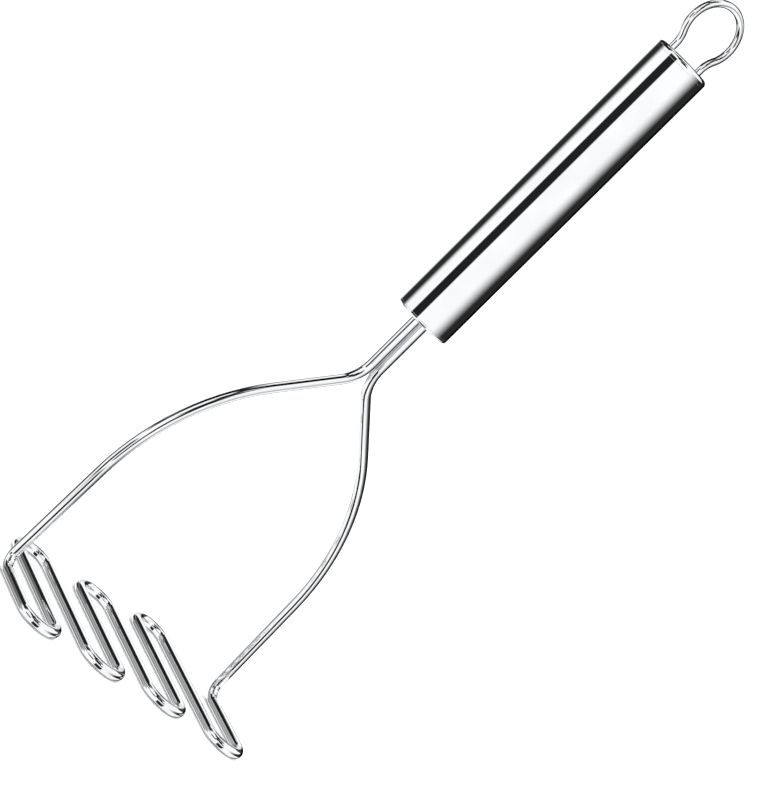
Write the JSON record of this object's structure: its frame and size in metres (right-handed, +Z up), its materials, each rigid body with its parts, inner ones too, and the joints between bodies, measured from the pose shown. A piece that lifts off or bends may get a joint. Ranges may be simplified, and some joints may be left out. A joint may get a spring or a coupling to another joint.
{
  "type": "potato masher",
  "caption": "Polished steel wire potato masher: tubular handle with a hanging loop, bowed arms and a serpentine wire mashing head.",
  "frame": {"origin": "middle of the mashing face, on the plane that the masher stands on", "axes": "+Z up the handle towards the hanging loop, +X across the head, +Y along the strokes of the serpentine, away from the longer side of the head"},
  "size_m": [0.1, 0.0644, 0.2781],
  "materials": {
    "polished_wire": "polished",
    "polished_tube": "polished",
    "polished_plug": "polished",
    "weld_metal": "satin"
  },
  "bodies": {
    "root": {"masher_wire": "polished_wire", "hanging_loop": "polished_wire", "handle_tube": "polished_tube", "bottom_plug": "polished_plug", "top_plug": "polished_plug", "neck_weld": "weld_metal", "loop_weld_left": "weld_metal", "loop_weld_right": "weld_metal"}
  },
  "joints": []
}
